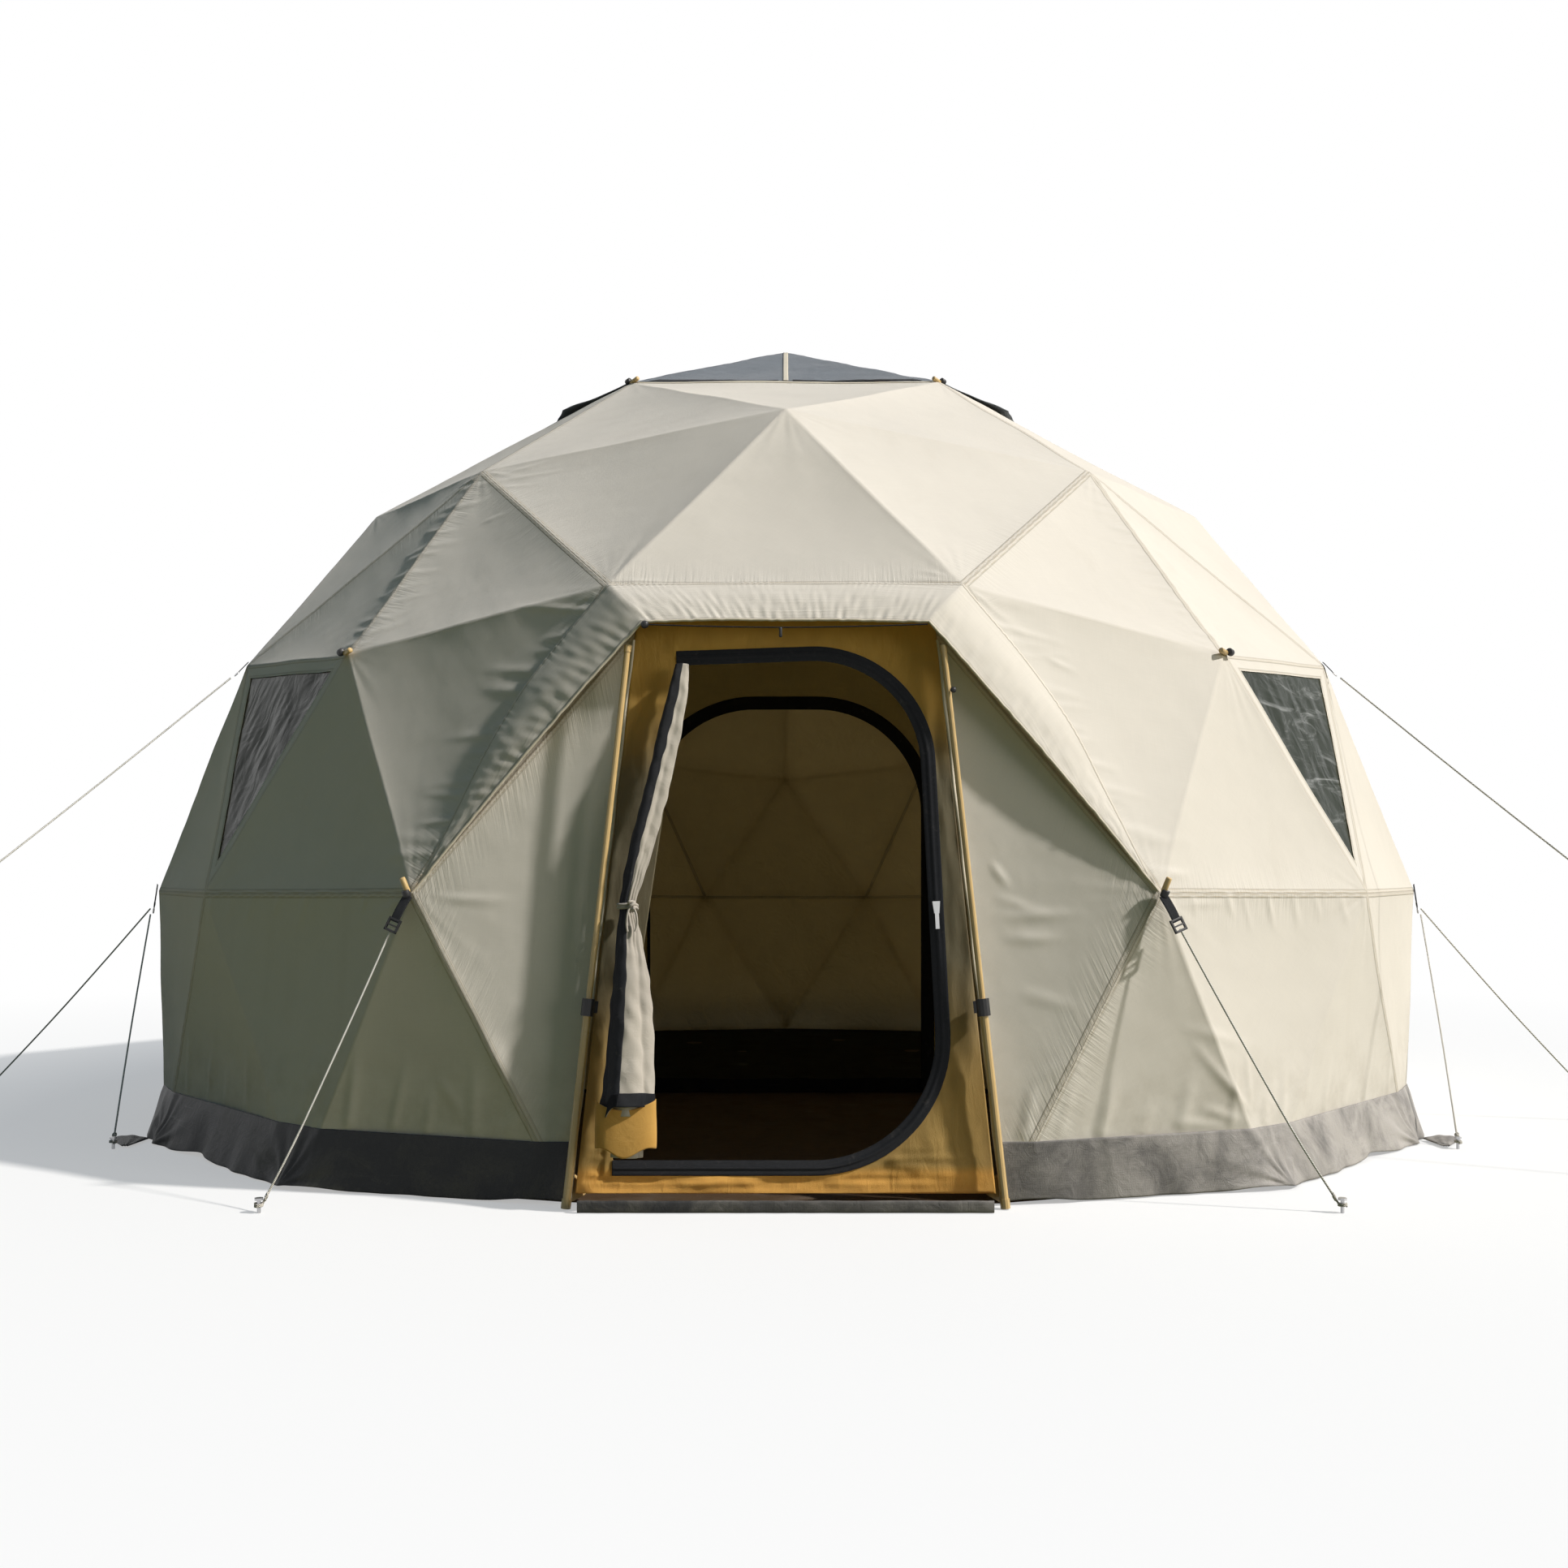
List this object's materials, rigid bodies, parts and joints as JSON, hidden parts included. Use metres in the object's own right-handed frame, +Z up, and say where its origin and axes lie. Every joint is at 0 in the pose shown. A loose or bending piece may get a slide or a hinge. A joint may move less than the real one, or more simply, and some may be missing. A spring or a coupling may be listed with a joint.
{
  "type": "geodesic tent",
  "caption": "Domed camping tent on a geodesic frame, with a porch doorway, corner windows, splayed ground skirt, inner room and guy lines.",
  "frame": {"origin": "on the ground under the middle of the dome, at the groundsheet's underside", "axes": "+Z up; -Y out through the doorway; +X to the right of somebody who looks at the doorway from outside"},
  "size_m": [5.66, 4.3393, 2.79],
  "materials": {
    "canvas": "matt cotton canvas",
    "skirt_fabric": "coated dark fabric",
    "door_fabric": "matt fabric",
    "flap_fabric": "matt fabric",
    "tape": "woven tape",
    "roof_mesh": "fine mesh",
    "window_film": "clear dark film",
    "lining": "matt fabric",
    "floor_fabric": "coated fabric",
    "pole": "satin tan coating",
    "black_plastic": "matt",
    "rope": "braided cord",
    "peg_steel": "plain steel",
    "zip_pull": "satin"
  },
  "bodies": {
    "tent": {"awning": "canvas", "door_wall": "door_fabric", "door_zip": "tape", "frame": "pole", "front_hem": "skirt_fabric", "groundsheet": "floor_fabric", "guy_line_ear_left": "rope", "guy_line_ear_right": "rope", "guy_line_front_left": "rope", "guy_line_front_right": "rope", "guy_line_high_left": "rope", "guy_line_high_right": "rope", "guy_line_side_left": "rope", "guy_line_side_right": "rope", "guy_strap_left": "tape", "guy_strap_right": "tape", "inner_liner": "lining", "inner_room_door_roll": "lining", "inner_room_floor": "skirt_fabric", "inner_room_wall_left": "lining", "inner_room_wall_right": "lining", "peg_ear_left": "peg_steel", "peg_ear_right": "peg_steel", "peg_front_left": "peg_steel", "peg_front_right": "peg_steel", "peg_high_left": "peg_steel", "peg_high_right": "peg_steel", "peg_side_left": "peg_steel", "peg_side_right": "peg_steel", "porch_pole_left_lock": "black_plastic", "porch_pole_left_lower": "pole", "porch_pole_right_lock": "black_plastic", "porch_pole_right_lower": "pole", "porch_wall_left": "canvas", "porch_wall_right": "canvas", "roof_panel_front": "canvas", "roof_panel_left": "canvas", "roof_panel_rear_left": "canvas", "roof_panel_rear_right": "canvas", "roof_panel_right": "canvas", "roof_vent_cap": "roof_mesh", "shoulder_panel_front_left": "canvas", "shoulder_panel_front_right": "canvas", "shoulder_panel_left": "canvas", "shoulder_panel_rear": "canvas", "shoulder_panel_right": "canvas", "skirt_left": "skirt_fabric", "skirt_right": "skirt_fabric", "wall_front_left": "canvas", "wall_front_right": "canvas", "wall_left": "canvas", "wall_rear": "canvas", "wall_right": "canvas", "window_left": "window_film", "window_right": "window_film"},
    "door_flap": {"door_flap": "flap_fabric", "door_flap_tie": "tape"},
    "zip_slider": {"door_zip_slider": "zip_pull"},
    "pole_upper_left": {"porch_pole_left_upper": "pole"},
    "pole_upper_right": {"porch_pole_right_upper": "pole"}
  },
  "joints": [
    {"name": "door_flap_swing", "type": "hinge", "parent": "tent", "child": "door_flap", "pos_m": [-0.4, -2.02517, 0.08769], "axis": [0.1325, 0.0826, 0.9877], "range_deg": [0, 60]},
    {"name": "door_zip_slide", "type": "slide", "parent": "tent", "child": "zip_slider", "axis": [-0.0443, 0.0832, 0.9955], "range_m": [-0.2, 0.2]},
    {"name": "porch_pole_left_slide", "type": "slide", "parent": "tent", "child": "pole_upper_left", "axis": [0.1006, 0.0678, 0.9926], "range_m": [-0.33, 0]},
    {"name": "porch_pole_right_slide", "type": "slide", "parent": "tent", "child": "pole_upper_right", "axis": [-0.1006, 0.0678, 0.9926], "range_m": [-0.33, 0]}
  ]
}
